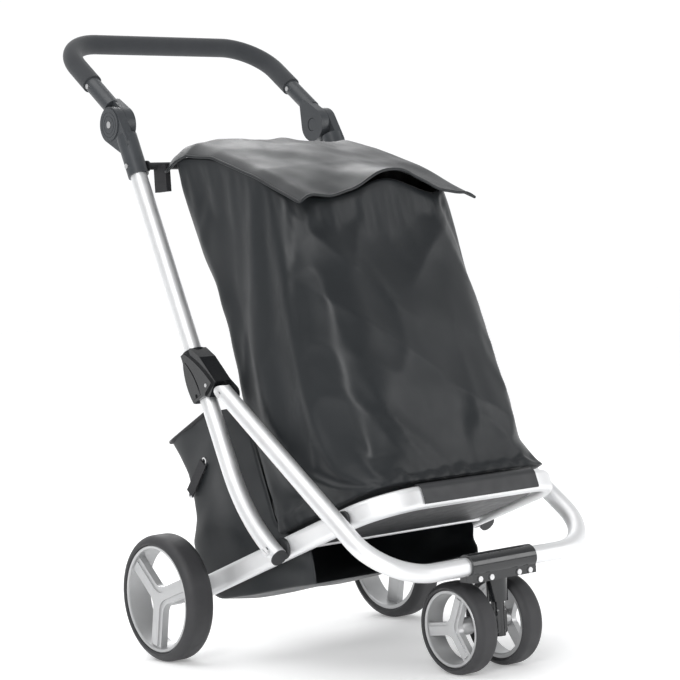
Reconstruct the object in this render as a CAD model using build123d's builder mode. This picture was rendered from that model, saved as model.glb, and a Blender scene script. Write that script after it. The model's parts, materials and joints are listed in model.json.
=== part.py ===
from build123d import *
import os
from math import atan2, cos, hypot, radians, sin

# Shopping trolley on wheels, millimetres. X runs across the trolley (left is -X, seen from the
# front), the front faces -Y and Z is up. The origin is on the ground, under the middle of the
# whole trolley.

# driving dimensions; places along the trolley are given from the rear axle
axle_y = 128.8          # rear axle behind the origin
side_x = 209.0          # uprights and front legs, centre line from the middle
tube_r = 13.5           # uprights and front tube
tube_wall = 1.6
run_gap = 0.08          # radial running clearance of turning and sliding fits
body_gap = 0.4          # space left between pieces that move past each other

wheel_r = 100.0         # rear wheels
wheel_width = 49.2
wheel_x = 232.8
caster_r = 67.9
caster_width = 39.3
caster_x = 44.4
caster_axle = (-475.8, caster_r)
caster_trail = 37.2     # wheel axle behind the swivel axis

lean = 23.5             # uprights lean back from the vertical, degrees
upright_point = (30.6, 743.8)
fold_pivot = (-258.0, 188.0)
lower_bend_r = 281.5
lower_bend_angle = 34.6

front_bar = (-519.0, 161.5)
front_slope = 35.8
front_corner_r = 88.0
leg_pivot_reach = 442.6  # from the front bar to the leg pivot

base_bar = (-483.6, 265.0)
base_slope = 18.9
base_x = 181.0
base_corner_r = 77.0
base_high = 34.0        # flattened tube section
base_wide = 18.0

hub = (97.0, 853.7)     # handle hinge
hub_r = 29.0
hub_outer_x = 223.4
hub_inner_x = 189.8
hub_split_x = 207.0
handle_slope = 38.1
handle_x = 204.3
handle_bar_at = (269.6, 1006.7)
handle_corner_r = 75.0
foam_r = 16.5
foam_leg = 128.0        # foam on each side, from the cross bar's axis

bag_x = 176.0           # half width of the bag
cloth = 2.4             # thickness of the fabric panels

SIDES = {"left": -1, "right": 1}

up_y = sin(radians(lean))
up_z = cos(radians(lean))
parts = []


def keep(builder, label):
    """Label a finished piece and write it."""
    builder.part.label = label
    parts.append(label)
    export_step(builder.part, f"parts/{label}.step")


def at(y, z, x=0.0):
    """A point given from the rear axle, in the trolley's frame."""
    return Vector(x, axle_y + y, z)


def on_upright(along, ahead=0.0):
    """(y, z) from the axle of a point along the upright's line, and square to it towards the front."""
    y = upright_point[0] + along * up_y - ahead * up_z
    z = upright_point[1] + along * up_z + ahead * up_y
    return y, z


def side_plane(x):
    """Plane whose own x is +Y and own y is +Z, through the rear axle's foot, looking along +X."""
    return Plane(origin=(x, axle_y, 0), x_dir=(0, 1, 0), z_dir=(1, 0, 0))


def slope_plane(y, z, slope):
    """Plane across the trolley: own x is +X, own y rises towards the rear by the slope."""
    return Plane(
        origin=at(y, z),
        x_dir=(1, 0, 0),
        z_dir=(0, -sin(radians(slope)), cos(radians(slope))),
    )


def rod_plane(x, y, z):
    """Plane square to X, for discs and pins that run across the trolley."""
    return Plane(origin=at(y, z, x), x_dir=(0, 1, 0), z_dir=(1, 0, 0))


def upright_plane(along, x):
    """Plane square to the upright, its normal pointing up the tube."""
    return Plane(origin=at(*on_upright(along), x), x_dir=(1, 0, 0), z_dir=(0, up_y, up_z))


def disc(x_from, x_to, y, z, radius, mode=Mode.ADD):
    """A round bar along X between two stations, added to the open part."""
    with BuildSketch(rod_plane(x_from, y, z)) as face:
        Circle(radius)
    extrude(face.sketch, amount=x_to - x_from, mode=mode)


os.makedirs("parts", exist_ok=True)

# ---------------------------------------------------------------- uprights
upright_top = 96.0      # end of the tube, up from the reference point
leg_dir = (cos(radians(front_slope)), sin(radians(front_slope)))
leg_pivot = (
    front_bar[0] + leg_pivot_reach * leg_dir[0],
    front_bar[1] + leg_pivot_reach * leg_dir[1],
)
bend_start = -478.6     # where the straight part of the upright ends
bolt_r = 4.0
plug_depth = 12.0

for side, sign in SIDES.items():
    with BuildPart() as upright:
        with BuildLine(side_plane(sign * side_x)) as path:
            straight = Line(on_upright(upright_top), on_upright(bend_start))
            JernArc(start=straight @ 1, tangent=straight % 1, radius=lower_bend_r,
                    arc_size=-lower_bend_angle)
        with BuildSketch(Plane(origin=path.line @ 0, z_dir=path.line % 0)):
            Circle(tube_r)
            Circle(tube_r - tube_wall, mode=Mode.SUBTRACT)
        sweep(path=path.line)
        disc(sign * (side_x - 20), sign * (side_x + 20), *fold_pivot, bolt_r + run_gap,
             mode=Mode.SUBTRACT)
        disc(sign * (side_x - 20), sign * (side_x + 20), *on_upright(43), 2.1, mode=Mode.SUBTRACT)
    keep(upright, f"upright_{side}")

# where the bent tube ends, and which way it points there
end_turn = radians(lower_bend_angle)
bend_centre = on_upright(bend_start, lower_bend_r)
tube_end = (
    bend_centre[0] + lower_bend_r * cos(radians(-lean) - end_turn),
    bend_centre[1] + lower_bend_r * sin(radians(-lean) - end_turn),
)
end_dir = (0, -sin(end_turn + radians(lean)), -cos(end_turn + radians(lean)))

with BuildPart() as tube_end_plugs:
    for sign in SIDES.values():
        face = Plane(origin=at(*tube_end, sign * side_x), x_dir=(1, 0, 0), z_dir=end_dir)
        with BuildSketch(face.offset(0.05)):
            Circle(tube_r - 0.3)
        extrude(amount=2.4)
        with BuildSketch(face.offset(-plug_depth + 4.5)):
            Circle(tube_r - tube_wall - 0.1)
            Circle(tube_r - tube_wall - 2.0, mode=Mode.SUBTRACT)
        extrude(amount=plug_depth - 4.5 + 0.05)
keep(tube_end_plugs, "tube_end_plugs")

# ---------------------------------------------------------------- handle sockets and hub
socket_r = 16.8
socket_bottom = 25.8    # along the upright
socket_full = 97.0      # the round sleeve stops here, clear of the arm's disc
cap_depth = 1.6
handle_dir = (cos(radians(handle_slope)), sin(radians(handle_slope)))
foam_end = (
    handle_bar_at[0] - foam_leg * handle_dir[0],
    handle_bar_at[1] - foam_leg * handle_dir[1],
)


def on_arm(back):
    """(y, z) of a point on the handle arm's line, measured back from the foam's end."""
    return foam_end[0] - back * handle_dir[0], foam_end[1] - back * handle_dir[1]


for side, sign in SIDES.items():
    with BuildPart() as socket:
        with BuildSketch(upright_plane(socket_bottom, sign * side_x)):
            Circle(socket_r)
        extrude(amount=socket_full - socket_bottom)
        with BuildSketch(side_plane(sign * hub_split_x)):
            with Locations(hub):
                Circle(hub_r)
            with Locations(on_upright(84)):
                Circle(socket_r - 1.2)
            make_hull()
        extrude(amount=sign * (hub_outer_x - cap_depth - hub_split_x))
        with BuildSketch(upright_plane(socket_bottom - 1, sign * side_x)):
            Circle(tube_r + 0.03)
        extrude(amount=upright_top - socket_bottom + 1.1, mode=Mode.SUBTRACT)
        disc(sign * (hub_split_x - 1), sign * (hub_outer_x + 1), *hub, bolt_r + 0.02, mode=Mode.SUBTRACT)
        disc(sign * (side_x - 20), sign * (side_x + 20), *on_upright(43), 2.1, mode=Mode.SUBTRACT)
    keep(socket, f"handle_socket_{side}")

with BuildPart() as hub_caps:
    for sign in SIDES.values():
        outer = sign * (hub_outer_x - cap_depth)
        disc(outer, sign * hub_outer_x, *hub, hub_r - 3)
        disc(outer - sign, sign * (hub_outer_x + 1), *hub, 6.0, mode=Mode.SUBTRACT)
        for ring_r in (14.0, 20.0):
            with BuildSketch(rod_plane(sign * (hub_outer_x - 0.5), *hub)):
                Circle(ring_r + 0.6)
                Circle(ring_r - 0.6, mode=Mode.SUBTRACT)
            extrude(amount=sign * 1, mode=Mode.SUBTRACT)
keep(hub_caps, "hub_caps")

with BuildPart() as hub_bolts:
    for sign in SIDES.values():
        disc(sign * 199.2, sign * (hub_outer_x - cap_depth), *hub, bolt_r)
        disc(sign * (hub_outer_x - cap_depth), sign * (hub_outer_x + 0.6), *hub, 5.6)
keep(hub_bolts, "hub_bolts")

with BuildPart() as socket_screws:
    for sign in SIDES.values():
        disc(sign * (side_x - socket_r + 0.5), sign * (side_x + socket_r + 0.5), *on_upright(43), 2.0)
        disc(sign * (side_x + socket_r + 0.1), sign * (side_x + socket_r + 1.8), *on_upright(43), 4.2)
keep(socket_screws, "socket_screws")

# ---------------------------------------------------------------- bag bar and bags
bag_bar = (43.4, 782.6)
bag_back_top = (8.0, 788.0)
bag_back_foot = (-213.0, 213.0)
bag_front_top = (-300.0, 704.0)
bag_front_foot = (-444.0, 292.0)

with BuildPart() as bag_crossbar:
    disc(-(side_x - socket_r - 0.2), side_x - socket_r - 0.2, *bag_bar, 6.0)
    for sign in SIDES.values():
        disc(sign * (side_x - socket_r - 0.2), sign * (side_x - socket_r - 3.2), *bag_bar, 9.0)
keep(bag_crossbar, "bag_crossbar")

with BuildPart() as webbing_tabs:
    for sign in SIDES.values():
        with BuildSketch(side_plane(sign * 166)):
            with Locations((bag_bar[0] - 12, 762)):
                Rectangle(34, 44)
            with Locations(bag_bar):
                Circle(6.1, mode=Mode.SUBTRACT)
        extrude(amount=sign * 9)
keep(webbing_tabs, "webbing_tabs")


def panel(label, first, second, half_width, thickness):
    """A flat cloth panel across the trolley, from one (y, z) to another, thickened downwards or forwards."""
    slope = atan2(second[1] - first[1], second[0] - first[0])
    shift = (-sin(slope) * thickness, cos(slope) * thickness)
    with BuildPart() as cloth_panel:
        with BuildSketch(side_plane(-half_width)):
            with BuildLine():
                Polyline(
                    first,
                    second,
                    (second[0] + shift[0], second[1] + shift[1]),
                    (first[0] + shift[0], first[1] + shift[1]),
                    close=True,
                )
            make_face()
        extrude(amount=2 * half_width)
    keep(cloth_panel, label)


def side_panel(label, outline, x_inner, thickness):
    """A flat cloth panel on one side of a bag, from its (y, z) outline."""
    with BuildPart() as cloth_panel:
        with BuildSketch(side_plane(x_inner)):
            with BuildLine():
                Polyline(*outline, close=True)
            make_face()
        extrude(amount=thickness)
    keep(cloth_panel, label)


inside_x = bag_x - cloth - 0.1
panel("bag_rear", bag_back_foot, bag_back_top, inside_x, cloth)
panel("bag_front", bag_front_top, bag_front_foot, inside_x, cloth)
panel("bag_floor", (bag_back_foot[0] - 4.5, 214.8), (bag_front_foot[0] + 4.5, 290.8), inside_x, cloth)
bag_outline = [bag_back_foot, bag_back_top, bag_front_top, bag_front_foot]
for side, sign in SIDES.items():
    side_panel(f"bag_side_{side}", bag_outline, sign * (bag_x - cloth), sign * cloth)

basket_x = 164.0
basket_outline = [
    (-12, 86), (-14, 112), (24, 172), (8, 222), (18, 272), (34, 301), (66, 336),
    (-38, 385), (-136, 400), (-210, 207), (-292, 184), (-300, 129),
]
rear_wall = basket_outline[1:7]
panel("basket_floor", (-303, 128), (-12, 86), basket_x - 0.1, -cloth)
panel("basket_front", (-300, 130), (-294, 184), basket_x - 0.1, cloth)
with BuildPart() as basket_rear:
    with BuildSketch(side_plane(-basket_x + 0.1)):
        with BuildLine():
            back = [(y + cloth, z) for y, z in reversed(rear_wall)]
            Polyline((-12, 86.3), *rear_wall, *back, (-12 + cloth, 86.3), close=True)
        make_face()
    extrude(amount=2 * basket_x - 0.2)
keep(basket_rear, "basket_rear")
for side, sign in SIDES.items():
    side_panel(f"basket_side_{side}", basket_outline, sign * basket_x, sign * cloth)

# two metal loops with a strap on the basket's left side
loop_spots = ((-27, 302), (7, 262))
with BuildPart() as strap_loops:
    for spot in loop_spots:
        with BuildSketch(rod_plane(-(basket_x + cloth + 0.2), *spot)):
            SlotOverall(30, 12, rotation=-58)
            SlotOverall(25, 7, rotation=-58, mode=Mode.SUBTRACT)
        extrude(amount=-2.5)
keep(strap_loops, "strap_loops")

with BuildPart() as loop_strap:
    with BuildSketch(rod_plane(-(basket_x + cloth + 3.0), -10, 282)):
        Rectangle(66, 18, rotation=-50)
    extrude(amount=-1.8)
keep(loop_strap, "loop_strap")

# the flap, hinged at the bag's top rear edge
with BuildPart() as bag_flap:
    with BuildSketch(side_plane(-bag_x + 1)):
        with BuildLine():
            upper = [(13, 799), (-22, 810), (-50, 811), (-113, 791), (-218, 754), (-326, 708)]
            lower = [(y - 0.4, z - cloth) for y, z in reversed(upper)]
            Polyline(*upper, *lower, close=True)
        make_face()
    extrude(amount=2 * (bag_x - 1))
keep(bag_flap, "bag_flap")

# ---------------------------------------------------------------- base frame
base_length = 511.5     # front bar to rear axle, along the arms
axle = (0.0, wheel_r)
axle_r = 5.0
arm_inner = base_x - base_wide / 2
arm_outer = base_x + base_wide / 2
front_pivot = (-409.8, 240.2)
rod = (-292.0, 191.5)
rod_r = 4.0
pivot_spacer_r = 16.5

with BuildPart() as base_tube:
    base_plane = slope_plane(*base_bar, -base_slope)
    with BuildLine(base_plane) as path:
        FilletPolyline(
            (-base_x, base_length + 13),
            (-base_x, 0),
            (base_x, 0),
            (base_x, base_length + 13),
            radius=base_corner_r,
        )
    start = Plane(origin=path.line @ 0, x_dir=base_plane.z_dir, z_dir=path.line % 0)
    with BuildSketch(start):
        SlotOverall(base_high, base_wide)
        SlotOverall(base_high - 3.2, base_wide - 3.2, mode=Mode.SUBTRACT)
    sweep(path=path.line)
    for place, hole_r in ((axle, axle_r + 0.05), (fold_pivot, 4.05), (front_pivot, 4.05)):
        disc(-arm_outer - 5, arm_outer + 5, *place, hole_r, mode=Mode.SUBTRACT)
    disc(-arm_outer + 6, arm_outer - 6, *rod, rod_r + 0.05, mode=Mode.SUBTRACT)
keep(base_tube, "base_tube")

with BuildPart() as rear_axle:
    disc(-238, 238, *axle, axle_r)
keep(rear_axle, "rear_axle")

with BuildPart() as axle_spacers:
    for sign in SIDES.values():
        disc(sign * (arm_outer + 0.1), sign * (wheel_x - wheel_width / 2 - 4), *axle, 13.0)
        disc(sign * arm_outer, sign * 205, *axle, axle_r + 0.05, mode=Mode.SUBTRACT)
        disc(sign * (arm_inner - 0.1), sign * (arm_inner - 8), *axle, 11.0)
        disc(sign * arm_inner, sign * (arm_inner - 9), *axle, axle_r + 0.05, mode=Mode.SUBTRACT)
keep(axle_spacers, "axle_spacers")

with BuildPart() as cross_rod:
    disc(-arm_inner - 2, arm_inner + 2, *rod, rod_r)
keep(cross_rod, "cross_rod")

# stiff panel between the front bar and the rod, with its front corners rounded like the tube's
panel_half = 157.0
panel_near = 23.0       # back from the front bar, along the arms
panel_far = 200.5
panel_corner_r = 60.0
with BuildPart() as base_panel:
    with BuildSketch(slope_plane(*base_bar, -base_slope).offset(-9)) as outline:
        with Locations((0, (panel_near + panel_far) / 2)):
            Rectangle(2 * panel_half, panel_far - panel_near)
        fillet(outline.vertices().group_by(Axis.Y)[0], panel_corner_r)
    extrude(amount=3)
keep(base_panel, "base_panel")

# half-round cover on the front bar, open underneath
cover_half = 111.0
with BuildPart() as front_bar_cover:
    with BuildSketch(side_plane(-cover_half)):
        with Locations(base_bar):
            SlotOverall(base_high + 6, base_wide + 6, rotation=90 - base_slope)
            SlotOverall(base_high + 0.8, base_wide + 0.8, rotation=90 - base_slope, mode=Mode.SUBTRACT)
        with Locations((base_bar[0] - 6.3, base_bar[1] - 19)):
            Rectangle(60, 16, rotation=-base_slope, mode=Mode.SUBTRACT)
    extrude(amount=2 * cover_half)
keep(front_bar_cover, "front_bar_cover")

with BuildPart() as pivot_spacers:
    for sign in SIDES.values():
        disc(sign * (arm_outer + 0.1), sign * (side_x - tube_r - body_gap), *fold_pivot, pivot_spacer_r)
        disc(sign * arm_outer, sign * (side_x - tube_r), *fold_pivot, 4.05, mode=Mode.SUBTRACT)
    for sign in SIDES.values():
        disc(sign * (arm_outer + 0.1), sign * (side_x - tube_r - body_gap), *front_pivot, 12.0)
        disc(sign * arm_outer, sign * (side_x - tube_r), *front_pivot, 4.05, mode=Mode.SUBTRACT)
keep(pivot_spacers, "pivot_spacers")

with BuildPart() as pivot_bolts:
    for sign in SIDES.values():
        head = side_x + tube_r + body_gap
        disc(sign * (arm_inner - 3), sign * (head + 1), *fold_pivot, bolt_r)
        disc(sign * head, sign * (head + 2.6), *fold_pivot, 7.0)
        with BuildSketch(rod_plane(sign * (head + 1.4), *fold_pivot)):
            Rectangle(11, 1.6, rotation=28)
        extrude(amount=sign * 3, mode=Mode.SUBTRACT)
        disc(sign * (arm_inner - 0.1), sign * (arm_inner - 5), *fold_pivot, 7.0)
        disc(sign * (arm_inner - 3), sign * (side_x - tube_r - body_gap - 0.3), *front_pivot, bolt_r)
        disc(sign * (arm_inner - 0.7), sign * (arm_inner - 5), *front_pivot, 7.0)
keep(pivot_bolts, "pivot_bolts")

# ---------------------------------------------------------------- wheels
spoke_count = 3


def wheel(prefix, place, centre_x, radius, width, rim_outer, spoke_width, blend, turn, pin_r, bush_wall):
    """A tyre, a three-spoke rim and any bush for one wheel; the outer face looks away from the middle."""
    sign = 1 if centre_x > 0 else -1
    side = "right" if sign > 0 else "left"
    inner = centre_x - sign * width / 2
    outer = centre_x + sign * width / 2
    lip = rim_outer - 5.4
    web_out = outer - sign * width * 0.16
    web_in = outer - sign * width * 0.40
    axis_plane = Plane(origin=at(*place), x_dir=(1, 0, 0), z_dir=(0, -1, 0))
    wheel_axis = Axis(at(*place), (1, 0, 0))
    crown = width * 0.30

    with BuildPart() as tyre:
        with BuildSketch(axis_plane):
            with BuildLine():
                Polyline((inner + sign * 5, rim_outer + 0.05), (outer - sign * 5, rim_outer + 0.05))
                Line((outer - sign * 5, rim_outer + 0.05), (outer - sign * 1.2, rim_outer + 1.0))
                Line((outer - sign * 1.2, rim_outer + 1.0), (outer, rim_outer + 3.5))
                TangentArc((outer - sign * crown, radius), (outer, rim_outer + 3.5), tangent=(sign, 0))
                Line((outer - sign * crown, radius), (inner + sign * crown, radius))
                TangentArc((inner + sign * crown, radius), (inner, rim_outer + 3.5), tangent=(-sign, 0))
                Line((inner, rim_outer + 3.5), (inner + sign * 5, rim_outer + 0.05))
            make_face()
        revolve(axis=wheel_axis)
    keep(tyre, f"{prefix}_tyre_{side}")

    with BuildPart() as rim:
        with BuildSketch(axis_plane):
            with BuildLine():
                Polyline(
                    (inner + sign * 5.2, rim_outer),
                    (outer - sign * 5.2, rim_outer),
                    (outer - sign * 3.6, rim_outer + 0.0),
                    (outer - sign * 2.4, rim_outer - 1.2),
                    (outer - sign * 3.2, lip + 0.6),
                    (outer - sign * 5.0, lip),
                    (inner + sign * 6.5, lip - 1.2),
                    (inner + sign * 5.2, lip),
                    close=True,
                )
            make_face()
        revolve(axis=wheel_axis)
        with BuildSketch(rod_plane(web_in, *place)) as star:
            with PolarLocations((lip + 1) / 2, spoke_count, start_angle=turn):
                Rectangle(lip + 1, spoke_width)
            joins = star.vertices().filter_by(lambda v: hypot(v.X, v.Y) < lip * 0.5)
            fillet(joins, blend)
        extrude(star.sketch, amount=web_out - web_in)
        with BuildSketch(rod_plane(web_out - sign * 0.1, *place)) as ridge:
            with PolarLocations((lip - 3) / 2, spoke_count, start_angle=turn):
                Rectangle(lip - 3, spoke_width * 0.46)
            joins = ridge.vertices().filter_by(lambda v: hypot(v.X, v.Y) < lip * 0.4)
            fillet(joins, blend)
        extrude(ridge.sketch, amount=sign * 2.4)
        disc(inner, web_in + sign * 1, *place, pin_r + 9.0)
        disc(inner - sign * 1, web_out - sign * 3.5, *place, pin_r + run_gap + bush_wall, mode=Mode.SUBTRACT)
    keep(rim, f"{prefix}_rim_{side}")

    if bush_wall > 0:
        with BuildPart() as bush:
            disc(inner, web_out - sign * 3.6, *place, pin_r + run_gap + bush_wall - 0.05)
            disc(inner - sign * 1, web_out + sign * 1, *place, pin_r + run_gap, mode=Mode.SUBTRACT)
        keep(bush, f"{prefix}_bush_{side}")


for sign in SIDES.values():
    wheel("rear", axle, sign * wheel_x, wheel_r, wheel_width, 84.6, 27.0, 24.0, 162, axle_r, 4.0)
    wheel("caster", caster_axle, sign * caster_x, caster_r, caster_width, 56.7, 19.0, 15.0, 114, 4.0, 0)

# ---------------------------------------------------------------- mid joints, sliding on the uprights
sleeve_top = -281.0     # along the upright
sleeve_foot = -362.0
sleeve_r = 17.2
joint_outer_x = 228.0
leg_end_r = 13.5
mouth_gap = 0.5
leaf_depth = 4.0
lug_x = (arm_outer + 0.8, side_x - tube_r - body_gap)
rivet_spots = (on_upright(-350, 30), on_upright(-355, 0))

for side, sign in SIDES.items():
    with BuildPart() as mid_joint:
        with BuildSketch(upright_plane(sleeve_foot, sign * side_x)):
            Circle(sleeve_r)
        extrude(amount=sleeve_top - sleeve_foot)
        # the web that reaches forward from the sleeve to the leg's mouth
        with BuildSketch(side_plane(sign * (side_x - 15))):
            with BuildLine():
                Polyline(
                    on_upright(sleeve_top, -16),
                    on_upright(sleeve_top, 14),
                    on_upright(sleeve_top - 22, 30),
                    on_upright(-352, 50),
                    on_upright(-368, 24),
                    on_upright(sleeve_foot, 16),
                    on_upright(sleeve_foot, -16),
                    close=True,
                )
            make_face()
        extrude(amount=sign * (joint_outer_x - leaf_depth - side_x + 15))
        # leaf-shaped raised face on the outer side
        with BuildSketch(side_plane(sign * (joint_outer_x - leaf_depth - 1))) as leaf:
            with BuildLine():
                ThreePointArc(
                    on_upright(sleeve_top - 1, -3),
                    on_upright(-325, -18),
                    on_upright(sleeve_foot, -14),
                )
                Line(on_upright(sleeve_foot, -14), on_upright(sleeve_foot, 14))
                Line(on_upright(sleeve_foot, 14), on_upright(-352, 44))
                ThreePointArc(on_upright(-352, 44), on_upright(-312, 22), on_upright(sleeve_top - 1, -3))
            make_face()
        extrude(leaf.sketch, amount=sign * (leaf_depth + 1))
        # the scoop in the leaf
        with BuildSketch(side_plane(sign * (joint_outer_x - 3.2))) as scoop:
            with BuildLine():
                ThreePointArc(on_upright(-297, -5), on_upright(-330, -13), on_upright(-357, -9))
                Line(on_upright(-357, -9), on_upright(-357, 9))
                ThreePointArc(on_upright(-357, 9), on_upright(-324, 6), on_upright(-297, -5))
            make_face()
        extrude(scoop.sketch, amount=sign * 8, mode=Mode.SUBTRACT)
        # lug behind the leg, with the pivot pin's hole
        with BuildSketch(side_plane(sign * lug_x[0])):
            with Locations(leg_pivot):
                Circle(12.0)
            with Locations(on_upright(-345, 22)):
                Circle(18.0)
            make_hull()
        extrude(amount=sign * (lug_x[1] - lug_x[0]))
        mouth_r = leg_end_r + mouth_gap
        disc(sign * lug_x[1], sign * (joint_outer_x + 4), *leg_pivot, mouth_r, mode=Mode.SUBTRACT)
        disc(sign * (lug_x[0] - 1), sign * (lug_x[1] + 1), *leg_pivot, 4.0, mode=Mode.SUBTRACT)
        with BuildSketch(upright_plane(sleeve_foot - 12, sign * side_x)):
            Circle(tube_r + run_gap)
        extrude(amount=sleeve_top - sleeve_foot + 24, mode=Mode.SUBTRACT)
        for spot in rivet_spots:
            disc(sign * (joint_outer_x - 1.5), sign * (joint_outer_x + 3), *spot, 3.0, mode=Mode.SUBTRACT)
    keep(mid_joint, f"mid_joint_{side}")

with BuildPart() as mid_rivets:
    for sign in SIDES.values():
        disc(sign * (joint_outer_x - 1.4), sign * (joint_outer_x + 1.0), *rivet_spots[0], 2.9)
keep(mid_rivets, "mid_rivets")

# ---------------------------------------------------------------- front frame
clamp_half = 62.0
clamp_r = 17.6
swivel = (caster_axle[0] - caster_trail, 0.0)
housing_r = 16.0
housing_foot = 104.5
housing_top = 147.4
pintle_r = 6.0
screw_xs = (-49.0, -27.0, 27.0, 49.0)
flange_low = 138.5

with BuildPart() as front_tube:
    front_plane = slope_plane(*front_bar, front_slope)
    with BuildLine(front_plane) as path:
        FilletPolyline(
            (-side_x, leg_pivot_reach + leg_end_r),
            (-side_x, 0),
            (side_x, 0),
            (side_x, leg_pivot_reach + leg_end_r),
            radius=front_corner_r,
        )
    with BuildSketch(Plane(origin=path.line @ 0, z_dir=path.line % 0)):
        Circle(tube_r)
        Circle(tube_r - tube_wall, mode=Mode.SUBTRACT)
    sweep(path=path.line)
    # the ends are rounded about the pivot, seen from the side
    for sign in SIDES.values():
        with BuildSketch(side_plane(sign * side_x - 20)) as beyond:
            with Locations(Location((leg_pivot[0], leg_pivot[1]), front_slope)):
                with Locations((leg_end_r + 0.6, 0)):
                    Rectangle(2 * leg_end_r, 4 * leg_end_r)
                Circle(leg_end_r - 0.05, mode=Mode.SUBTRACT)
        extrude(beyond.sketch, amount=40, mode=Mode.SUBTRACT)
    disc(-side_x - 20, side_x + 20, *leg_pivot, 3.55, mode=Mode.SUBTRACT)
keep(front_tube, "front_tube")

with BuildPart() as leg_plugs:
    for sign in SIDES.values():
        pivot_plane = Plane(
            origin=at(*leg_pivot, sign * side_x),
            x_dir=(1, 0, 0),
            z_dir=(0, leg_dir[0], leg_dir[1]),
        )
        with BuildSketch(pivot_plane.offset(-14)):
            Circle(tube_r - tube_wall - 0.1)
        extrude(amount=18)
        disc(sign * (side_x - 20), sign * (side_x + 20), *leg_pivot, 3.55, mode=Mode.SUBTRACT)
keep(leg_plugs, "leg_plugs")

with BuildPart() as leg_pins:
    for sign in SIDES.values():
        disc(sign * (side_x + tube_r + 0.1), sign * (lug_x[0] - 0.3), *leg_pivot, 3.5)
        disc(sign * (side_x + tube_r + 0.05), sign * (side_x + tube_r + 1.6), *leg_pivot, 5.0)
keep(leg_pins, "leg_pins")

clamp_names = {"clamp_front": -1, "clamp_rear": 1}
for name, way in clamp_names.items():
    with BuildPart() as clamp:
        with BuildSketch(side_plane(-clamp_half)) as profile:
            with Locations(front_bar):
                Circle(clamp_r)
            with Locations((front_bar[0], (flange_low + front_bar[1]) / 2)):
                Rectangle(2 * clamp_r - 7, front_bar[1] - flange_low)
            with Locations(front_bar):
                Circle(tube_r + 0.05, mode=Mode.SUBTRACT)
            with Locations((front_bar[0] - way * 29.8, front_bar[1])):
                Rectangle(60, 90, mode=Mode.SUBTRACT)
        extrude(amount=2 * clamp_half)
        with BuildSketch(Plane.XY.offset(housing_foot)):
            with Locations((0, axle_y + swivel[0])):
                Circle(housing_r + 0.1)
        extrude(amount=housing_top + 0.2 - housing_foot, mode=Mode.SUBTRACT)
        screw_plane = Plane(origin=at(front_bar[0] - 30, 143.5), x_dir=(1, 0, 0), z_dir=(0, 1, 0))
        with BuildSketch(screw_plane):
            with Locations([(x, 0) for x in screw_xs]):
                Circle(2.05)
        extrude(amount=60, mode=Mode.SUBTRACT)
    keep(clamp, name)

with BuildPart() as clamp_screws:
    face = front_bar[0] - clamp_r + 3.5
    with BuildSketch(Plane(origin=at(face - 2.2, 143.5), x_dir=(1, 0, 0), z_dir=(0, 1, 0))):
        with Locations([(x, 0) for x in screw_xs]):
            Circle(4.2)
    extrude(amount=2.1)
    with BuildSketch(Plane(origin=at(face - 1, 143.5), x_dir=(1, 0, 0), z_dir=(0, 1, 0))):
        with Locations([(x, 0) for x in screw_xs]):
            Circle(2.0)
    extrude(amount=2 * clamp_r - 8)
keep(clamp_screws, "clamp_screws")

with BuildPart() as swivel_housing:
    with BuildSketch(Plane.XY.offset(housing_foot)):
        with Locations((0, axle_y + swivel[0])):
            Circle(housing_r)
    extrude(amount=housing_top - housing_foot)
    with BuildSketch(Plane.XY.offset(housing_foot - 1)):
        with Locations((0, axle_y + swivel[0])):
            Circle(pintle_r + run_gap)
    extrude(amount=37, mode=Mode.SUBTRACT)
    disc(-clamp_half, clamp_half, *front_bar, tube_r + 0.05, mode=Mode.SUBTRACT)
keep(swivel_housing, "swivel_housing")

# ---------------------------------------------------------------- caster fork
stem_r = 10.0
stem_foot = 53.0
caster_pin_r = 4.0
fork_half = caster_x - caster_width / 2 - 0.6

with BuildPart() as caster_fork:
    with BuildSketch(Plane.XY.offset(stem_foot)):
        with Locations((0, axle_y + swivel[0])):
            Circle(stem_r)
    extrude(amount=housing_foot - body_gap - stem_foot)
    with BuildSketch(Plane.XY.offset(housing_foot - 1)):
        with Locations((0, axle_y + swivel[0])):
            Circle(pintle_r)
    extrude(amount=35)
    with BuildSketch(side_plane(-9)):
        with Locations(caster_axle):
            Circle(13.0)
        with Locations((swivel[0], 88), (swivel[0], 63)):
            Circle(9.0)
        make_hull()
    extrude(amount=18)
    for sign in SIDES.values():
        with BuildSketch(rod_plane(sign * 8, *caster_axle)) as wide:
            Circle(13.0)
        with BuildSketch(rod_plane(sign * fork_half, *caster_axle)) as narrow:
            Circle(8.5)
        loft(sections=[wide.sketch, narrow.sketch])
    disc(-30, 30, *caster_axle, caster_pin_r + 0.05, mode=Mode.SUBTRACT)
keep(caster_fork, "caster_fork")

with BuildPart() as caster_pin:
    disc(-caster_x - 8, caster_x + 8, *caster_axle, caster_pin_r)
keep(caster_pin, "caster_pin")

# ---------------------------------------------------------------- handle
handle_tube_r = 11.0
arm_r = 13.5
arm_foot = 72.0         # the round arm starts here, back from the foam's end
arm_grip = 52.0         # the bar reaches this far into the arm
pocket_r = 11.5
pocket_depth = 9.2
arm_plane = Plane(
    origin=at(*handle_bar_at),
    x_dir=(1, 0, 0),
    z_dir=(0, -handle_dir[1], handle_dir[0]),
)

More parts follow.
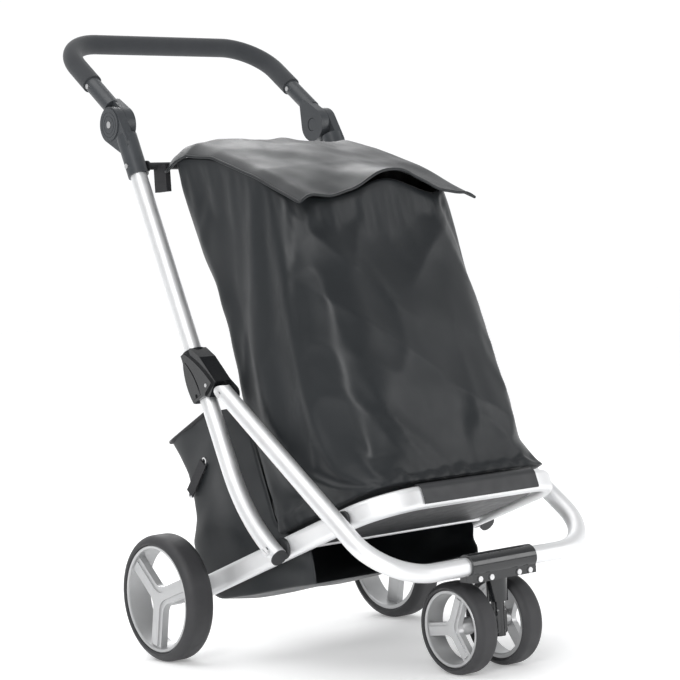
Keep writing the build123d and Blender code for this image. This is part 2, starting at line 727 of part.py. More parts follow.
for side, sign in SIDES.items():
    arm_end = Plane(
        origin=at(*on_arm(arm_foot), sign * handle_x),
        x_dir=(1, 0, 0),
        z_dir=(0, handle_dir[0], handle_dir[1]),
    )
    with BuildPart() as arm:
        with BuildSketch(arm_end):
            Circle(arm_r)
        extrude(amount=arm_foot - 0.2)
        with BuildSketch(side_plane(sign * hub_inner_x)):
            with Locations(hub):
                Circle(hub_r)
            with Locations(on_arm(arm_foot - 6)):
                Circle(arm_r - 2)
            make_hull()
        extrude(amount=sign * (hub_split_x - body_gap - hub_inner_x))
        with BuildSketch(arm_end.offset(arm_foot - arm_grip - 1)):
            Circle(handle_tube_r + 0.05)
        extrude(amount=arm_grip + 4, mode=Mode.SUBTRACT)
        pocket_end = hub_inner_x + pocket_depth
        disc(sign * (hub_inner_x - 1), sign * pocket_end, *hub, pocket_r, mode=Mode.SUBTRACT)
        disc(sign * hub_inner_x, sign * (hub_split_x + 1), *hub, bolt_r + run_gap, mode=Mode.SUBTRACT)
        disc(sign * (handle_x - 20), sign * (handle_x + 20), *on_arm(8), 2.1, mode=Mode.SUBTRACT)
        split = hub_split_x - body_gap
        disc(sign * split, sign * (handle_x + 20), *hub, hub_r + body_gap, mode=Mode.SUBTRACT)
    keep(arm, f"handle_arm_{side}")

with BuildPart() as handle_bar:
    with BuildLine(arm_plane) as path:
        FilletPolyline(
            (-handle_x, -foam_leg - arm_grip),
            (-handle_x, 0),
            (handle_x, 0),
            (handle_x, -foam_leg - arm_grip),
            radius=handle_corner_r,
        )
    with BuildSketch(Plane(origin=path.line @ 0, z_dir=path.line % 0)):
        Circle(handle_tube_r)
        Circle(handle_tube_r - 1.5, mode=Mode.SUBTRACT)
    sweep(path=path.line)
    disc(-handle_x - 20, handle_x + 20, *on_arm(8), 2.1, mode=Mode.SUBTRACT)
keep(handle_bar, "handle_bar")

with BuildPart() as foam_grip:
    with BuildLine(arm_plane) as path:
        FilletPolyline(
            (-handle_x, -foam_leg),
            (-handle_x, 0),
            (handle_x, 0),
            (handle_x, -foam_leg),
            radius=handle_corner_r,
        )
    with BuildSketch(Plane(origin=path.line @ 0, z_dir=path.line % 0)):
        Circle(foam_r)
        Circle(handle_tube_r + 0.1, mode=Mode.SUBTRACT)
    sweep(path=path.line)
keep(foam_grip, "foam_grip")

with BuildPart() as arm_rivets:
    for sign in SIDES.values():
        disc(sign * (handle_x - arm_r - 0.8), sign * (handle_x + arm_r + 0.8), *on_arm(8), 2.0)
        for face in (-1, 1):
            face_x = handle_x + face * (arm_r + 0.05)
            disc(sign * face_x, sign * (face_x + face * 1.5), *on_arm(8), 4.0)
keep(arm_rivets, "arm_rivets")

for side, sign in SIDES.items():
    with BuildPart() as button:
        disc(sign * (hub_inner_x + 0.6), sign * (hub_inner_x + 4.8), *hub, pocket_r - 0.4)
        fillet(button.edges().group_by(Axis.X)[-1 if sign < 0 else 0], 1.0)
    keep(button, f"handle_button_{side}")

print(len(parts), "pieces")
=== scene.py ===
import json
import math

import bpy
from mathutils import Matrix, Vector, noise


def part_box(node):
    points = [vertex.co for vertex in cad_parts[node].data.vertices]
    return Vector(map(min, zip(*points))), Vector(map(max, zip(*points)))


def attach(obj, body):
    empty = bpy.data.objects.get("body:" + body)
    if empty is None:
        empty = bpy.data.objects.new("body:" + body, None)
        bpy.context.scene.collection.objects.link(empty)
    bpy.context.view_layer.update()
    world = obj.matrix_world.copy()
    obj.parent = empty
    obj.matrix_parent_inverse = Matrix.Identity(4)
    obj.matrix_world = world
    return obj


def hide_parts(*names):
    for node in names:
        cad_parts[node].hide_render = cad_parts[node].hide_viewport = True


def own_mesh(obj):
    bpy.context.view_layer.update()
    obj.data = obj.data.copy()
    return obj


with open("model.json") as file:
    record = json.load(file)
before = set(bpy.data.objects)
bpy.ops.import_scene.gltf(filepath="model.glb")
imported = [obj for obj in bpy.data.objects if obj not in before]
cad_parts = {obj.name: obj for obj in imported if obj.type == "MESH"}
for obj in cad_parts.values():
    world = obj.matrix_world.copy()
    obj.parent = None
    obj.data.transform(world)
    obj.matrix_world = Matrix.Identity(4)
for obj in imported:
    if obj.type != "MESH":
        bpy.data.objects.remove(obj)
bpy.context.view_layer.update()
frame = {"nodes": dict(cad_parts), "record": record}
nodes = frame["nodes"]
record = frame["record"]

MM = 0.001
AXLE_Y = (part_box("rear_axle")[0].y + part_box("rear_axle")[1].y) / 2


def at(x, y, z):
    """A point in metres from millimetres, with y counted from the rear axle."""
    return Vector((x * MM, AXLE_Y + y * MM, z * MM))


# ---------------------------------------------------------------- camera
CAMERA_AT = at(-1999.1, -2708.7, 582.5)
CAMERA_LENS = 108.5
YAW, PITCH, ROLL = (math.radians(a) for a in (-38.37, 1.68, -3.56))


def make_camera():
    back = Vector((math.sin(YAW) * math.cos(PITCH), -math.cos(YAW) * math.cos(PITCH), math.sin(PITCH)))
    right = Vector((math.cos(YAW), math.sin(YAW), 0))
    up = back.cross(right)
    right_rolled = math.cos(ROLL) * right + math.sin(ROLL) * up
    up_rolled = -math.sin(ROLL) * right + math.cos(ROLL) * up
    data = bpy.data.cameras.new("camera")
    data.lens = CAMERA_LENS
    data.sensor_width = 36
    camera = bpy.data.objects.new("camera", data)
    bpy.context.scene.collection.objects.link(camera)
    turn = Matrix((right_rolled, up_rolled, back)).transposed()
    camera.matrix_world = Matrix.Translation(CAMERA_AT) @ turn.to_4x4()
    bpy.context.scene.camera = camera


# ---------------------------------------------------------------- light and floor
ROOM_DIM = 0.34      # strength of the room's light in front of the trolley
ROOM_BRIGHT = 1.04   # and behind it


def area_light(name, place, aim, size, power):
    data = bpy.data.lights.new(name, "AREA")
    data.shape = "RECTANGLE"
    data.size, data.size_y = size
    data.energy = power
    lamp = bpy.data.objects.new(name, data)
    bpy.context.scene.collection.objects.link(lamp)
    lamp.location = place
    lamp.rotation_euler = (Vector(aim) - Vector(place)).to_track_quat("-Z", "Y").to_euler()


def make_studio():
    bpy.context.scene.view_settings.view_transform = "Standard"
    world = bpy.data.worlds.new("studio")
    bpy.context.scene.world = world
    world.use_nodes = True
    tree = world.node_tree
    background = tree.nodes["Background"]
    background.inputs["Color"].default_value = (0.985, 0.992, 1.0, 1)
    # the room is white behind the trolley and dimmer in front of it and above it
    coords = tree.nodes.new("ShaderNodeTexCoord")
    towards = tree.nodes.new("ShaderNodeVectorMath")
    towards.operation = "DOT_PRODUCT"
    towards.inputs[1].default_value = (-math.sin(YAW), math.cos(YAW), -0.25)
    tree.links.new(coords.outputs["Generated"], towards.inputs[0])
    level = tree.nodes.new("ShaderNodeMapRange")
    spread = {"From Min": -0.2, "From Max": 0.85, "To Min": ROOM_DIM, "To Max": ROOM_BRIGHT}
    for socket, value in spread.items():
        level.inputs[socket].default_value = value
    tree.links.new(towards.outputs["Value"], level.inputs["Value"])
    tree.links.new(level.outputs["Result"], background.inputs["Strength"])
    middle = (0, 0, 0.5)
    area_light("key", (-3.0, -2.6, 2.2), middle, (1.6, 1.6), 78)
    area_light("fill", (2.4, -3.0, 1.4), middle, (1.4, 1.8), 26)
    area_light("rim", (1.4, 3.0, 2.8), middle, (2.0, 1.4), 40)
    sun = bpy.data.lights.new("sky_panel", "SUN")
    sun.energy = 1.05
    sun.angle = 0.9
    lamp = bpy.data.objects.new("sky_panel", sun)
    lamp.rotation_euler = (math.radians(-14), math.radians(-16), 0)
    bpy.context.scene.collection.objects.link(lamp)
    bpy.ops.mesh.primitive_plane_add(size=60, location=(0, 0, 0))
    floor = bpy.context.object
    floor.name = "floor"
    floor.data.materials.append(floor_material())


# ---------------------------------------------------------------- materials
class Shader:
    """A Principled material with short calls for the nodes that feed it."""

    def __init__(self, name, colour, roughness, metallic=0.0, **sockets):
        self.material = bpy.data.materials.new(name)
        self.material.use_nodes = True
        self.tree = self.material.node_tree
        self.shader = self.tree.nodes["Principled BSDF"]
        self.set("Base Color", (*colour, 1))
        self.set("Roughness", roughness)
        self.set("Metallic", metallic)
        for socket, value in sockets.items():
            self.set(socket.replace("_", " "), value)

    def set(self, socket, value):
        self.shader.inputs[socket].default_value = value

    def node(self, kind, inputs=None, **settings):
        made = self.tree.nodes.new("ShaderNode" + kind)
        for key, value in settings.items():
            setattr(made, key, value)
        for key, value in (inputs or {}).items():
            if isinstance(value, bpy.types.NodeSocket):
                self.tree.links.new(value, made.inputs[key])
            else:
                made.inputs[key].default_value = value
        return made

    def place(self, scale=(1, 1, 1), turn=(0, 0, 0)):
        coords = self.node("TexCoord")
        inputs = {"Vector": coords.outputs["Object"], "Scale": scale, "Rotation": turn}
        return self.node("Mapping", inputs).outputs["Vector"]

    def noise(self, scale, detail=3.0, roughness=0.5, place=None):
        vector = place if place is not None else self.place()
        inputs = {"Vector": vector, "Scale": scale, "Detail": detail, "Roughness": roughness}
        return self.node("TexNoise", inputs).outputs["Fac"]

    def spread(self, value, low, high):
        inputs = {"Value": value, "From Min": 0.3, "From Max": 0.7, "To Min": low, "To Max": high}
        return self.node("MapRange", inputs).outputs["Result"]

    def colours(self, value, dark, light):
        made = self.node("Mix", {"Factor": value}, data_type="RGBA")
        made.inputs["A"].default_value = (*dark, 1)
        made.inputs["B"].default_value = (*light, 1)
        return made.outputs["Result"]

    def link(self, value, socket):
        self.tree.links.new(value, self.shader.inputs[socket])

    def bump(self, height, strength, distance):
        made = self.node("Bump", {"Height": height, "Strength": strength, "Distance": distance})
        self.link(made.outputs["Normal"], "Normal")

    def math(self, kind, first, second):
        made = self.node("Math", operation=kind)
        for place, value in enumerate((first, second)):
            if isinstance(value, bpy.types.NodeSocket):
                self.tree.links.new(value, made.inputs[place])
            else:
                made.inputs[place].default_value = value
        return made.outputs["Value"]


def floor_material():
    s = Shader("floor_paper", (0.95, 0.95, 0.95), 0.9, Emission_Strength=0.24)
    s.set("Emission Color", (1, 1, 1, 1))
    s.link(s.colours(s.noise(2.0), (0.95, 0.952, 0.954), (0.97, 0.971, 0.972)), "Base Color")
    return s.material


def aluminium_material():
    s = Shader("satin_aluminium", (0.88, 0.885, 0.89), 0.52, 0.85)
    grain = s.noise(900.0, 2.0, 0.6)
    cloudy = s.noise(14.0, 4.0)
    s.link(s.colours(cloudy, (0.86, 0.865, 0.875), (0.91, 0.912, 0.915)), "Base Color")
    s.link(s.spread(s.noise(40.0, 4.0, 0.6), 0.48, 0.56), "Roughness")
    s.bump(grain, 0.10, 0.0002)
    return s.material


def plastic_material(name, dark, light, rough, grain_scale, grain_strength, **sockets):
    s = Shader(name, light, rough, **sockets)
    s.link(s.colours(s.noise(22.0, 4.0), dark, light), "Base Color")
    s.link(s.spread(s.noise(60.0, 3.0), rough - 0.05, rough + 0.06), "Roughness")
    s.bump(s.noise(grain_scale, 2.0, 0.7), grain_strength, 0.0002)
    return s.material


def steel_material():
    s = Shader("zinc_steel", (0.72, 0.72, 0.73), 0.28, 1.0)
    s.link(s.colours(s.noise(120.0, 3.0), (0.62, 0.62, 0.63), (0.80, 0.80, 0.80)), "Base Color")
    s.bump(s.noise(700.0, 2.0), 0.08, 0.0001)
    return s.material


def rubber_material(name, dark, light, rough):
    s = Shader(name, light, rough)
    s.link(s.colours(s.noise(18.0, 5.0, 0.6), dark, light), "Base Color")
    s.link(s.spread(s.noise(45.0, 4.0), rough - 0.07, rough + 0.07), "Roughness")
    s.bump(s.noise(1200.0, 2.0), 0.12, 0.0002)
    return s.material


def foam_material():
    s = Shader("foam", (0.034, 0.037, 0.041), 0.86, Sheen_Weight=0.15, Sheen_Roughness=0.5)
    cells = s.node("TexVoronoi", {"Vector": s.place(), "Scale": 1100.0})
    s.link(s.colours(s.noise(30.0, 4.0), (0.030, 0.033, 0.037), (0.042, 0.045, 0.050)), "Base Color")
    s.bump(cells.outputs["Distance"], 0.35, 0.0003)
    return s.material


def woven_material(name, dark, light, rough, threads, strength, sheen):
    """Plain weave: two crossed sets of threads, with broad soft variation of colour and gloss."""
    s = Shader(name, light, rough, Sheen_Weight=sheen, Sheen_Roughness=0.35, Specular_IOR_Level=0.42)
    across = s.node("TexWave", {"Vector": s.place(turn=(0, 0.4, 0)), "Scale": threads, "Distortion": 0.4},
                    bands_direction="X")
    along = s.node("TexWave", {"Vector": s.place(turn=(0.4, 0, 0)), "Scale": threads, "Distortion": 0.4},
                   bands_direction="Z")
    weave = s.math("MAXIMUM", across.outputs["Fac"], along.outputs["Fac"])
    s.link(s.colours(s.noise(9.0, 5.0, 0.6), dark, light), "Base Color")
    s.link(s.spread(s.noise(11.0, 4.0, 0.6), rough - 0.07, rough + 0.08), "Roughness")
    s.bump(weave, strength, 0.0003)
    return s.material


def make_materials():
    """One material for each slot; plain kinds are given as dark and light colour, roughness and grain."""
    return {
        "aluminium": aluminium_material(),
        "frame_plastic": plastic_material(
            "frame_plastic", (0.040, 0.044, 0.049), (0.056, 0.061, 0.067), 0.40, 900, 0.10
        ),
        "gloss_black": plastic_material(
            "gloss_black", (0.010, 0.011, 0.012), (0.018, 0.019, 0.021), 0.16, 500, 0.03,
            Coat_Weight=0.3, Coat_Roughness=0.08,
        ),
        "black_plastic": plastic_material(
            "black_plastic", (0.020, 0.021, 0.023), (0.034, 0.035, 0.038), 0.48, 1000, 0.2
        ),
        "steel": steel_material(),
        "bag_fabric": woven_material(
            "bag_fabric", (0.0090, 0.0108, 0.0125), (0.0155, 0.0182, 0.0208), 0.45, 420, 0.10, 0.04
        ),
        "webbing": woven_material(
            "webbing", (0.012, 0.012, 0.014), (0.022, 0.022, 0.025), 0.65, 180, 0.5, 0.2
        ),
        "foam": foam_material(),
        "tyre": rubber_material("tyre_rubber", (0.028, 0.028, 0.030), (0.044, 0.044, 0.047), 0.58),
        "rim_plastic": plastic_material(
            "rim_plastic", (0.46, 0.465, 0.47), (0.56, 0.562, 0.566), 0.36, 1500, 0.10, Metallic=0.5
        ),
    }


def dress_cad_nodes(materials):
    for part in record["subparts"]:
        node = nodes[part["node"]]
        slots = node.data.materials
        if len(slots) == 0:
            slots.append(materials[part["material_slot"]])
        for index in range(len(slots)):
            slots[index] = materials[part["material_slot"]]


# ---------------------------------------------------------------- mesh helpers
def new_piece(name, points, faces, material):
    mesh = bpy.data.meshes.new(name)
    mesh.from_pydata([tuple(p) for p in points], [], faces)
    mesh.validate()
    mesh.update()
    piece = bpy.data.objects.new(name, mesh)
    bpy.context.scene.collection.objects.link(piece)
    for polygon in mesh.polygons:
        polygon.use_smooth = True
    mesh.materials.append(material)
    return piece


def apply_modifiers(piece):
    graph = bpy.context.evaluated_depsgraph_get()
    graph.update()
    made = bpy.data.meshes.new_from_object(piece.evaluated_get(graph))
    piece.modifiers.clear()
    piece.data = made


def grid_faces(rows, columns, closed):
    """Faces of a grid whose points run row by row; a closed grid joins its last column to its first."""
    faces = []
    for row in range(rows - 1):
        for column in range(columns if closed else columns - 1):
            following = (column + 1) % columns
            a = row * columns + column
            b = row * columns + following
            faces.append((a, b, b + columns, a + columns))
    return faces


def mix(a, b, share):
    return a + (b - a) * share


def along(points, value):
    """A point on a line of (station, y, z) entries at a station, smoothed between the entries."""
    for (s0, y0, z0), (s1, y1, z1) in zip(points, points[1:]):
        if value <= s1:
            share = (value - s0) / (s1 - s0)
            return mix(y0, y1, share), mix(z0, z1, share)
    return points[-1][1:]


def tube(name, path, radius, material, ring=10, closed=False):
    """A round tube through points close together."""
    rings, count = [], len(path)
    for index, point in enumerate(path):
        before = path[index - 1] if index or closed else point
        after = path[(index + 1) % count] if index < count - 1 or closed else point
        heading = (after - before).normalized()
        side = heading.cross(Vector((0.31, 0.2, 0.93))).normalized()
        lift = side.cross(heading)
        rings += [
            point + radius * (math.cos(a) * side + math.sin(a) * lift)
            for a in (2 * math.pi * k / ring for k in range(ring))
        ]
    faces = grid_faces(count, ring, True)
    if closed:
        last = (count - 1) * ring
        faces += [(last + k, last + (k + 1) % ring, (k + 1) % ring, k) for k in range(ring)]
    else:
        faces.append(tuple(range(ring))[::-1])
        faces.append(tuple((count - 1) * ring + k for k in range(ring)))
    return new_piece(name, rings, faces, material)


# ---------------------------------------------------------------- cloth
CLOTH_STEPS = 26


def simulate(piece, pins, cap, spare, stiffness=15.0, bending=1.2, pressure=0.0):
    """Hangs a sewn shell from its pinned points: the cloth is cut larger by the spare share, falls under
    its own weight, and no point ends further from its start than the cap."""
    start = [v.co.copy() for v in piece.data.vertices]
    group = piece.vertex_groups.new(name="pins")
    group.add(pins, 1.0, "REPLACE")
    cloth = piece.modifiers.new("Cloth", "CLOTH")
    settings = cloth.settings
    settings.quality = 6
    settings.mass = 0.25
    settings.tension_stiffness = stiffness
    settings.compression_stiffness = stiffness
    settings.shear_stiffness = stiffness * 0.4
    settings.bending_stiffness = bending
    settings.shrink_min = -spare
    settings.shrink_max = -spare
    settings.vertex_group_mass = "pins"
    settings.use_pressure = pressure > 0
    settings.uniform_pressure_force = pressure
    cloth.collision_settings.use_collision = False
    cloth.collision_settings.use_self_collision = False
    cloth.point_cache.frame_start = 1
    cloth.point_cache.frame_end = CLOTH_STEPS
    scene = bpy.context.scene
    for step in range(1, CLOTH_STEPS + 1):
        scene.frame_set(step)
    apply_modifiers(piece)
    scene.frame_set(1)
    for vertex, rest in zip(piece.data.vertices, start):
        moved = vertex.co - rest
        if moved.length > cap:
            vertex.co = rest + moved * (cap / moved.length)
    piece.data.update()


def thicken(piece, thickness, level=1):
    """Gives the shell the cloth's thickness, inwards, and smooths it."""
    if level:
        smooth = piece.modifiers.new("Smooth", "SUBSURF")
        smooth.levels = level
        smooth.render_levels = level
    wall = piece.modifiers.new("Wall", "SOLIDIFY")
    wall.thickness = thickness
    wall.offset = -1
    apply_modifiers(piece)
    for polygon in piece.data.polygons:
        polygon.use_smooth = True


# ---------------------------------------------------------------- main bag
BAG_HALF = 175.0
BAG_LENGTH = 480.0     # of the front, from mouth to foot, as the creases count it
BAG_WIDEST = 0.1875    # furthest that the cloth may swell to each side, in metres
HEM_PEAK = 0.12        # where the raised middle of the lid and mouth lies, as a share of the half width
HEM_SPREAD = 0.42
WALL = 0.0012          # thickness of the cloth in metres
BAG_REAR_CORNER = 26.0
BAG_FRONT_CORNER = 86.0
# creases of the front, each from (x, share of the bag's length) to another such place, with its
# width and height in millimetres
CREASES = (
    (-165, 0.04, -10, 0.40, 20, 11),
    (155, 0.02, 5, 0.30, 17, 10),
    (-170, 0.28, 15, 0.60, 24, 10),
    (70, 0.40, 45, 0.96, 26, 8),
    (158, 0.46, 100, 0.97, 20, 8),
    (-130, 0.60, -50, 0.97, 22, 8),
    (110, 0.10, 168, 0.42, 15, 7),
    (-35, 0.02, -85, 0.22, 13, 6),
    (10, 0.62, 150, 0.80, 18, 6),
    (-175, 0.55, -90, 0.90, 17, 7),
)
# rear and front edges of the bag from its mouth to its foot: station, y from the axle, z
BAG_REAR = (
    (0, 6, 786), (0.13, -26, 712), (0.33, -78, 597), (0.58, -127, 453), (0.77, -160, 346), (1, -212, 198),
)
BAG_FRONT = (
    (0, -298, 706), (0.12, -318, 655), (0.33, -354, 562), (0.6, -402, 440), (0.82, -440, 345),
    (1, -462, 284),
)
BAG_ROWS = 74
BAG_COLUMNS = 148


def rounded_loop(half, depth, rear_corner, front_corner, count):
    """(x, distance from the rear edge) points round a rectangle with round corners, evenly spaced, from the
    middle of the rear edge, and each point's outward direction."""
    radii = (rear_corner, front_corner, front_corner, rear_corner)
    side = depth - rear_corner - front_corner
    straight = (2 * (half - rear_corner), side, 2 * (half - front_corner), side)
    total = sum(straight) + sum(math.pi / 2 * r for r in radii)
    centres = (
        (half - rear_corner, rear_corner),
        (half - front_corner, depth - front_corner),
        (front_corner - half, depth - front_corner),
        (rear_corner - half, rear_corner),
    )
    loop = []
    for index in range(count):
        left = (index * total / count + straight[0] / 2) % total
        for quarter in range(4):
            heading = math.pi / 2 * quarter
            arc = math.pi / 2 * radii[quarter]
            if left <= straight[quarter]:
                ahead = Vector((math.cos(heading), math.sin(heading)))
                outward = Vector((math.sin(heading), -math.cos(heading)))
                point = Vector(centres[quarter - 1]) + radii[quarter - 1] * outward + left * ahead
                break
            left -= straight[quarter]
            if left <= arc:
                angle = heading - math.pi / 2 + left / radii[quarter]
                outward = Vector((math.cos(angle), math.sin(angle)))
                point = Vector(centres[quarter]) + radii[quarter] * outward
                break
            left -= arc
        loop.append((point, outward))
    return loop


def pleat(x, row_share):
    """Small gathers close to the bag's foot."""
    near_foot = max(0.0, (row_share - 0.90) / 0.10)
    return 2.6 * near_foot * (math.sin(x * 0.21) + 0.6 * math.sin(x * 0.37 + 1.3))


def soft_fold(x, y, z):
    """Broad slanting folds with a few finer creases, in millimetres along the cloth's outward side."""
    slant = Vector((x * 0.0052 + z * 0.0021, y * 0.006, z * 0.0034 - x * 0.0016))
    broad = noise.noise(slant + Vector((3.1, 0.4, 7.7)))
    ridge = 1 - abs(noise.noise(Vector((x * 0.011 + z * 0.006, y * 0.012, z * 0.004)))) * 4
    fine = noise.noise(Vector((x * 0.035, y * 0.035, z * 0.016)))
    cross = Vector((x * 0.0095 + z * 0.0075, y * 0.0075, z * 0.0062 - x * 0.0048))
    drape = noise.noise(cross + Vector((9.2, 1.4, 2.6)))
    return 11.0 * broad + 8.0 * drape + 3.4 * max(0.0, ridge) ** 2 + 1.3 * fine


def raised_middle(across):
    """How much the hem of the lid, and the mouth under it, rise at a place across from -1 to 1."""
    return math.exp(-((across - HEM_PEAK) / HEM_SPREAD) ** 2)


def crease(x, share):
    """Height of the front's long sewn-in creases at a place, in millimetres."""
    here = Vector((x, share * BAG_LENGTH))
    height = 0.0
    for x0, share0, x1, share1, width, peak in CREASES:
        start = Vector((x0, share0 * BAG_LENGTH))
        run = Vector((x1, share1 * BAG_LENGTH)) - start
        passed = max(0.0, min(1.0, (here - start).dot(run) / run.length_squared))
        away = (here - start - passed * run).length
        height += peak * math.exp(-1.3 * away / width) * math.sin(math.pi * (0.12 + 0.80 * passed))
    return height


def main_bag(materials):
    points = []
    for row in range(BAG_ROWS):
        share = row / (BAG_ROWS - 1)
        rear = Vector(along(BAG_REAR, share))
        front = Vector(along(BAG_FRONT, share))
        depth = (rear - front).length
        belly = math.sin(math.pi * min(1, share * 1.02)) ** 0.7
        mouth = max(0.0, 1 - share / 0.22) ** 1.5
        foot = max(0.0, (share - 0.86) / 0.14)
        half = BAG_HALF - 3 * (1 - share) - 4 * foot
        rear_corner = BAG_REAR_CORNER - 8 * foot
        front_corner = BAG_FRONT_CORNER - 64 * foot ** 0.8
        for spot, outward in rounded_loop(half, depth, rear_corner, front_corner, BAG_COLUMNS):
            forward = spot.y / depth
            front_side = max(0.0, outward.y)
            swell = 12 * belly * front_side + 5 * belly * abs(outward.x)
            shift = swell + pleat(spot.x + spot.y, share) * front_side
            y, z = rear + (front - rear) * (forward + shift * front_side / depth)
            z += 27 * mouth * math.sin(math.pi * min(1, forward * 1.02)) ** 0.8
            across = spot.x / BAG_HALF
            z += 28 * mouth * raised_middle(across) * math.cos(across * math.pi / 2) * forward ** 4
            x = spot.x + outward.x * (swell + 0.5 * pleat(spot.y, share))
            fold = soft_fold(x, y, z) * min(1.0, belly * 1.3)
            fold += crease(x, share) * front_side ** 0.5 * min(1.0, 6 * (1 - share))
            points.append(at(x + outward.x * fold, y - outward.y * fold * 0.9, z - outward.y * fold * 0.4))
    faces = grid_faces(BAG_ROWS, BAG_COLUMNS, True)
    foot = (BAG_ROWS - 1) * BAG_COLUMNS
    middle = sum((points[foot + k] for k in range(BAG_COLUMNS)), Vector()) / BAG_COLUMNS
    for ring_share in (0.8, 0.5, 0.2):
        base = len(points) - BAG_COLUMNS
        points += [mix(middle, points[foot + k], ring_share) for k in range(BAG_COLUMNS)]
        for k in range(BAG_COLUMNS):
            a, b = base + k, base + (k + 1) % BAG_COLUMNS
            faces.append((a, b, b + BAG_COLUMNS, a + BAG_COLUMNS))
    last = len(points) - BAG_COLUMNS
    points.append(middle)
    faces += [(last + k, last + (k + 1) % BAG_COLUMNS, len(points) - 1) for k in range(BAG_COLUMNS)]
    bag = new_piece("main_bag", points, faces, materials["bag_fabric"])
    pins = list(range(2 * BAG_COLUMNS)) + list(range((BAG_ROWS - 2) * BAG_COLUMNS, len(points)))
    simulate(bag, pins, cap=0.010, spare=0.014, bending=3.0, pressure=0.8)
    thicken(bag, WALL)
    for vertex in bag.data.vertices:
        vertex.co.x = max(-BAG_WIDEST, min(BAG_WIDEST, vertex.co.x))
    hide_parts("bag_front", "bag_rear", "bag_floor", "bag_side_left", "bag_side_right")
    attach(bag, "uprights")
    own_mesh(bag)
    return bag


# ---------------------------------------------------------------- flap
FLAP_LINE = (
    (0, 13, 798), (0.08, -14, 809), (0.17, -46, 812), (0.36, -113, 792), (0.68, -218, 755), (1, -327, 709),
)
FLAP_HALF = 176.0
FLAP_ROWS = 60
FLAP_COLUMNS = 64


def flap_point(across, back):
    """A point on the lid, across from -1 to 1 and from its hinge at 0 to its front hem at 1."""
    y, z = along(FLAP_LINE, back)
    bow = math.cos(across * math.pi / 2)
    raised = max(0.0, back - 0.45) / 0.55
    z += 36 * raised_middle(across) * bow * raised ** 2.0
    y += 10 * bow * raised ** 3
    z += 7 * bow * math.sin(math.pi * back)
    hood = max(0.0, 1 - abs(back - 0.02) / 0.34)
    edge = max(0.0, (abs(across) - 0.86) / 0.14)
    z -= 30 * hood * edge ** 1.3
    z -= 10 * (1 - hood) * edge ** 2
    z += 7.0 * bow ** 0.5 * noise.noise(Vector((across * 1.9 + back, back * 2.6 - across * 0.8, 0.3)))
    z += 2.2 * noise.noise(Vector((across * 5.5, back * 6.0, 4.1)))
    x = FLAP_HALF * across * (1 - 0.02 * back)
    return at(x, y, z)


def main_flap(materials):
    points = [
        flap_point(2 * column / (FLAP_COLUMNS - 1) - 1, row / (FLAP_ROWS - 1))
        for row in range(FLAP_ROWS)
        for column in range(FLAP_COLUMNS)
    ]
    faces = grid_faces(FLAP_ROWS, FLAP_COLUMNS, False)
    flap = new_piece("flap", points, faces, materials["bag_fabric"])
    thicken(flap, 0.0013)
    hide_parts("bag_flap")
    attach(flap, "bag_flap")
    edge = []
    for k in range(46):
        edge.append(flap_point(-1, k / 46))
    for k in range(48):
        edge.append(flap_point(-1 + 2 * k / 48, 1))
    for k in range(47):
        edge.append(flap_point(1, 1 - k / 46))
    hem = tube("flap_binding", edge, 0.0024, materials["bag_fabric"], ring=8)
    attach(hem, "bag_flap")
    length = sum((flap_point(0, (k + 1) / 40) - flap_point(0, k / 40)).length for k in range(40))


# ---------------------------------------------------------------- lower basket
BASKET_HALF = 163.0
# rear wall from the rim down and floor forward: station, y from the axle, z
BASKET_OUT = (
    (0, 67, 337), (0.07, 48, 316), (0.16, 26, 286), (0.28, 14, 244), (0.36, 8, 214), (0.42, 14, 190),
    (0.47, 22, 170), (0.54, 2, 132), (0.58, -16, 98), (0.62, -40, 88), (0.74, -130, 102),
    (0.86, -232, 122), (1, -296, 134),
)
BASKET_IN = (
    (0, -38, 386), (0.2, -140, 398), (0.45, -176, 302), (0.62, -206, 220), (0.8, -250, 200), (1, -288, 184),
)
BASKET_ROWS = 44
BASKET_COLUMNS = 60


def basket_wall_point(x, station):
    y, z = along(BASKET_OUT, station)
    bow = math.cos(x / BASKET_HALF * math.pi / 2)
    sag = math.sin(math.pi * station)
    z -= 8 * bow * sag ** 2 if station > 0.6 else 0
    y -= 7 * bow * math.sin(math.pi * min(1, station / 0.6))
    fold = noise.noise(Vector((x * 0.016, station * 6, 1.7)))
    return at(x, y + 9 * fold * sag, z + 5 * fold * sag)


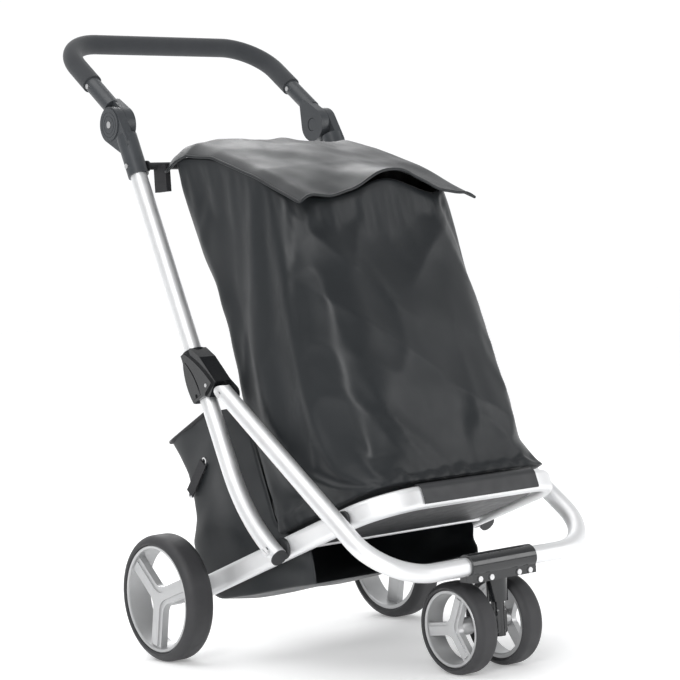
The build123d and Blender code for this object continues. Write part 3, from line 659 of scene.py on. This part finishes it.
def lower_basket(materials):
    """One sewn pocket: the rear wall and floor in one strip, with a gusset on each side."""
    points = [
        basket_wall_point(BASKET_HALF * (2 * column / (BASKET_COLUMNS - 1) - 1), row / (BASKET_ROWS - 1))
        for row in range(BASKET_ROWS)
        for column in range(BASKET_COLUMNS)
    ]
    faces = grid_faces(BASKET_ROWS, BASKET_COLUMNS, False)
    depth_steps = 12
    for sign, column in ((-1, 0), (1, BASKET_COLUMNS - 1)):
        base = len(points)
        for row in range(BASKET_ROWS):
            station = row / (BASKET_ROWS - 1)
            outer = points[row * BASKET_COLUMNS + column]
            inner = at(sign * BASKET_HALF, *along(BASKET_IN, station))
            for step in range(1, depth_steps + 1):
                share = step / depth_steps
                belly = 5.5 * math.sin(math.pi * share) * math.sin(math.pi * min(1, station * 1.1 + 0.08))
                grain = Vector((share * 2.2 + station * 3, station * 7 - share, 4.0 + sign))
                fold = 8.0 * noise.noise(grain)
                point = mix(outer, inner, share)
                point.x += sign * (belly + fold * math.sin(math.pi * share)) * MM
                points.append(point)
        for row in range(BASKET_ROWS - 1):
            for step in range(depth_steps):
                if step == 0:
                    a, b = row * BASKET_COLUMNS + column, (row + 1) * BASKET_COLUMNS + column
                else:
                    a, b = base + row * depth_steps + step - 1, base + (row + 1) * depth_steps + step - 1
                c, d = base + (row + 1) * depth_steps + step, base + row * depth_steps + step
                faces.append((a, b, c, d) if sign < 0 else (d, c, b, a))
    basket = new_piece("lower_basket", points, faces, materials["bag_fabric"])
    thicken(basket, WALL)
    walls = ("basket_floor", "basket_front", "basket_rear", "basket_side_left", "basket_side_right")
    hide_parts(*walls)
    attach(basket, "uprights")
    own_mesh(basket)
    rim = [at(-BASKET_HALF, *along(BASKET_IN, 0))]
    rim += [mix(rim[0], points[0], k / 12) for k in range(1, 12)]
    rim += [points[k] for k in range(0, BASKET_COLUMNS, 2)] + [points[BASKET_COLUMNS - 1]]
    end = at(BASKET_HALF, *along(BASKET_IN, 0))
    rim += [mix(points[BASKET_COLUMNS - 1], end, k / 12) for k in range(1, 13)]
    binding = tube("basket_rim", rim, 0.0035, materials["webbing"])
    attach(binding, "uprights")
    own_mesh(binding)


# ---------------------------------------------------------------- assembly
materials = make_materials()
make_camera()
make_studio()
dress_cad_nodes(materials)
main_bag(materials)
main_flap(materials)
lower_basket(materials)
